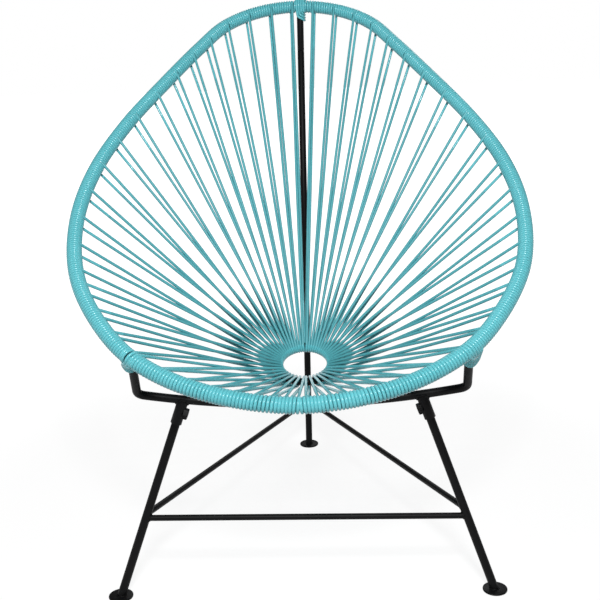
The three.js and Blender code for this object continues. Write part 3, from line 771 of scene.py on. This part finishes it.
def corner_wrap(side, word, first, pitch, lows, reaches, tail=None):
    """Turns that meet the upright: each leaves the hoop's face, hangs over the upright's front and goes
    round behind it. They nest, the first one hanging lowest."""
    top, bottom = bar_end(side)
    fall = unit(bottom - top)
    heading, outward = (v[0] for v in on_rim(CORNER, side)[1:3])
    front = unit(outward - fall * (outward @ fall))
    along = np.cross(fall, front)
    if along @ heading < 0:
        along = -along
    s = TUBE + CORD

    def hoop(x, degrees, radius=HOOP + CORD * 1.01):
        centre, _, out, up = (v[0] for v in on_rim(CORNER + x, side))
        a = math.radians(degrees)
        return centre + radius * (math.cos(a) * out + math.sin(a) * up)

    def post(x, y, z):
        return top + along * x + fall * y + front * z

    build = Build()
    for k, (low, reach) in enumerate(zip(lows, reaches)):
        x = first + pitch * k
        turn = 0.0012 + 0.0006 * k
        points = [
            hoop(x + pitch * 0.21, 75, HOOP + CORD * 0.5),
            hoop(x + pitch * 0.11, 40, HOOP + CORD * 0.85),
            hoop(x + pitch * 0.04, 15),
            post(reach + (x - reach) * 0.7, 0.0045, s + 0.0022),
        ]
        # a quarter of an ellipse, from the face of the hoop down to the turn's lowest place
        brow = 0.0085
        for degrees in (15, 40, 65):
            a = math.radians(degrees)
            points.append(post(turn + (reach - turn) * math.cos(a), brow + (low - brow) * math.sin(a),
                               s + 0.0018 * math.cos(a)))
        points += [
            post(turn, low, s * 1.02),
            post(s * 0.72, low - 0.0012, s * 0.74),
            post(s * 1.03, low - 0.0040, -s * 0.1),
            post(s * 0.75, low * 0.72, -s * 0.78),
            post(0.001, low * 0.5, -s * 1.02),
            post(-s * 0.4, low * 0.25, -s * 0.9),
            hoop(x, 200, HOOP * 0.7),
        ]
        build.sweep(open_curve(points), CORD * 0.97, WRAP_SIDES)
    if tail is not None:
        points = [hoop(tail, 150), hoop(tail, 100), hoop(tail, 45), hoop(tail, 5),
                  hoop(tail, -30) + fall * 0.0022, hoop(tail, -62) + fall * 0.0062,
                  hoop(tail, -95) + fall * 0.0052, hoop(tail, -150)]
        build.sweep(open_curve(points), CORD * 0.99, WRAP_SIDES)
    build.make(f"corner_wrap_{word}", vinyl, [f"corner_whipping_{word}"])


def top_wrap(first, pitch, lows):
    """Turns over the hoop's back that sweep across the front of the tube there to its right side."""
    down = -REAR_DIR
    along = vec(1, 0, 0)
    front = np.cross(along, down)
    if front[1] > 0:
        front = -front
    s = TUBE + CORD
    layer = HOOP + CORD * 2.8

    def at(x, y, z):
        return HOOP_BACK + along * x + down * y + front * z

    points = []
    for k, low in enumerate(lows):
        x = first + pitch * k
        points += [
            at(x, -layer, 0.0), at(x, -layer * 0.7, layer * 0.72), at(x, 0.0, layer),
            at(x + 0.0008, layer * 0.75, layer * 0.88),
            at(x + (s - x) * 0.18, low * 0.66 + 0.003, s * 1.12),
            at(x + (s - x) * 0.50, low * 0.90, s * 1.05),
            at(s * 0.75, low, s * 0.72),
            at(s * 1.02, low + 0.0004, 0.0),
            at(s * 0.70, low - 0.004, -s * 0.74),
            at(s * 0.20 + x * 0.4, low * 0.4, -s * 1.15),
            at(x + pitch * 0.5, 0.0, -layer), at(x + pitch * 0.8, -layer * 0.7, -layer * 0.72),
        ]
    points.append(at(first + pitch * len(lows), -layer, 0.0))
    build = Build()
    build.sweep(open_curve(points), CORD * 1.02, WRAP_SIDES)
    build.make("top_wrap", vinyl, ["top_whipping"])


corner_wrap(-1, "left", first=0.0018, pitch=FRONT_PITCH, lows=(0.0240, 0.0202, 0.0164),
            reaches=(-0.0070, -0.0036, -0.0004), tail=-0.0085)
corner_wrap(1, "right", first=-0.0150, pitch=BACK_PITCH,
            lows=(0.0330, 0.0292, 0.0254, 0.0216, 0.0178, 0.0143),
            reaches=(-0.0125, -0.0092, -0.0060, -0.0028, 0.0002, 0.0030))
top_wrap(first=-0.0072, pitch=0.0048, lows=(0.0280, 0.0225, 0.0170, 0.0118))


# ---------------------------------------------------------------- floor, backdrop and light
FLOOR_REACH = 14
FLOOR_Z = -0.0002
# the floor's own shading shows by this share near the chair, and not beyond the far distance
FLOOR_SHADE, SHADE_NEAR, SHADE_FAR = 0.3, 0.55, 1.7
FLOOR_GLOW = 1.25
WORLD_LIGHT = 0.17


def make_floor():
    """Pale floor: white to the camera and to gloss, with a share of its own shading near the chair."""
    material, tree, shader = node_material("studio_floor")
    shader.inputs["Base Color"].default_value = (0.5, 0.5, 0.5, 1)
    shader.inputs["Roughness"].default_value = 0.9
    shader.inputs["Specular IOR Level"].default_value = 0.1
    path = tree.nodes.new("ShaderNodeLightPath")
    seen = tree.nodes.new("ShaderNodeMath")
    seen.operation = "MAXIMUM"
    tree.links.new(path.outputs["Is Camera Ray"], seen.inputs[0])
    tree.links.new(path.outputs["Is Glossy Ray"], seen.inputs[1])
    reach = tree.nodes.new("ShaderNodeVectorMath")
    reach.operation = "LENGTH"
    tree.links.new(tree.nodes.new("ShaderNodeTexCoord").outputs["Object"], reach.inputs[0])
    fade = tree.nodes.new("ShaderNodeMapRange")
    fade.interpolation_type = "SMOOTHSTEP"
    fade.inputs["From Min"].default_value = SHADE_NEAR
    fade.inputs["From Max"].default_value = SHADE_FAR
    fade.inputs["To Min"].default_value = 1 - FLOOR_SHADE
    fade.inputs["To Max"].default_value = 1.0
    tree.links.new(reach.outputs["Value"], fade.inputs["Value"])
    part = tree.nodes.new("ShaderNodeMath")
    part.operation = "MULTIPLY"
    tree.links.new(seen.outputs[0], part.inputs[0])
    tree.links.new(fade.outputs["Result"], part.inputs[1])
    glow = tree.nodes.new("ShaderNodeEmission")
    glow.inputs["Color"].default_value = (1, 1, 1, 1)
    glow.inputs["Strength"].default_value = FLOOR_GLOW
    mix = tree.nodes.new("ShaderNodeMixShader")
    tree.links.new(part.outputs[0], mix.inputs[0])
    tree.links.new(shader.outputs[0], mix.inputs[1])
    tree.links.new(glow.outputs[0], mix.inputs[2])
    tree.links.new(mix.outputs[0], tree.nodes["Material Output"].inputs["Surface"])
    mesh = bpy.data.meshes.new("floor")
    r, z = FLOOR_REACH, FLOOR_Z
    mesh.from_pydata([(-r, -r, z), (r, -r, z), (r, r, z), (-r, r, z)], [], [(0, 1, 2, 3)])
    mesh.materials.append(material)
    floor = bpy.data.objects.new("floor", mesh)
    scene.collection.objects.link(floor)


def make_world():
    """Backdrop: white to the camera, a dim light on the chair."""
    world = bpy.data.worlds.new("studio")
    scene.world = world
    world.use_nodes = True
    tree = world.node_tree
    background = tree.nodes["Background"]
    background.inputs["Color"].default_value = (1, 1, 1, 1)
    background.inputs["Strength"].default_value = WORLD_LIGHT
    white = tree.nodes.new("ShaderNodeBackground")
    white.inputs["Color"].default_value = (1, 1, 1, 1)
    white.inputs["Strength"].default_value = 1.0
    path = tree.nodes.new("ShaderNodeLightPath")
    mix = tree.nodes.new("ShaderNodeMixShader")
    tree.links.new(path.outputs["Is Camera Ray"], mix.inputs[0])
    tree.links.new(background.outputs[0], mix.inputs[1])
    tree.links.new(white.outputs[0], mix.inputs[2])
    tree.links.new(mix.outputs[0], tree.nodes["World Output"].inputs["Surface"])


def area_light(name, place, target, size, power):
    """Oblong light at a place, turned to a target."""
    data = bpy.data.lights.new(name, "AREA")
    data.shape = "RECTANGLE"
    data.size, data.size_y = size
    data.energy = power
    light = bpy.data.objects.new(name, data)
    scene.collection.objects.link(light)
    light.location = place
    light.rotation_euler = (Vector(target) - Vector(place)).to_track_quat("-Z", "Y").to_euler()


make_floor()
make_world()
area_light("key", place=(0.10, -1.85, 1.90), target=(0, 0, 0.5), size=(0.35, 0.35), power=50)
area_light("fill", place=(-1.9, -1.9, 1.6), target=(0, 0, 0.5), size=(1.2, 1.2), power=10)
area_light("rear", place=(0.4, 2.4, 1.9), target=(0, 0, 0.6), size=(1.8, 1.2), power=20)
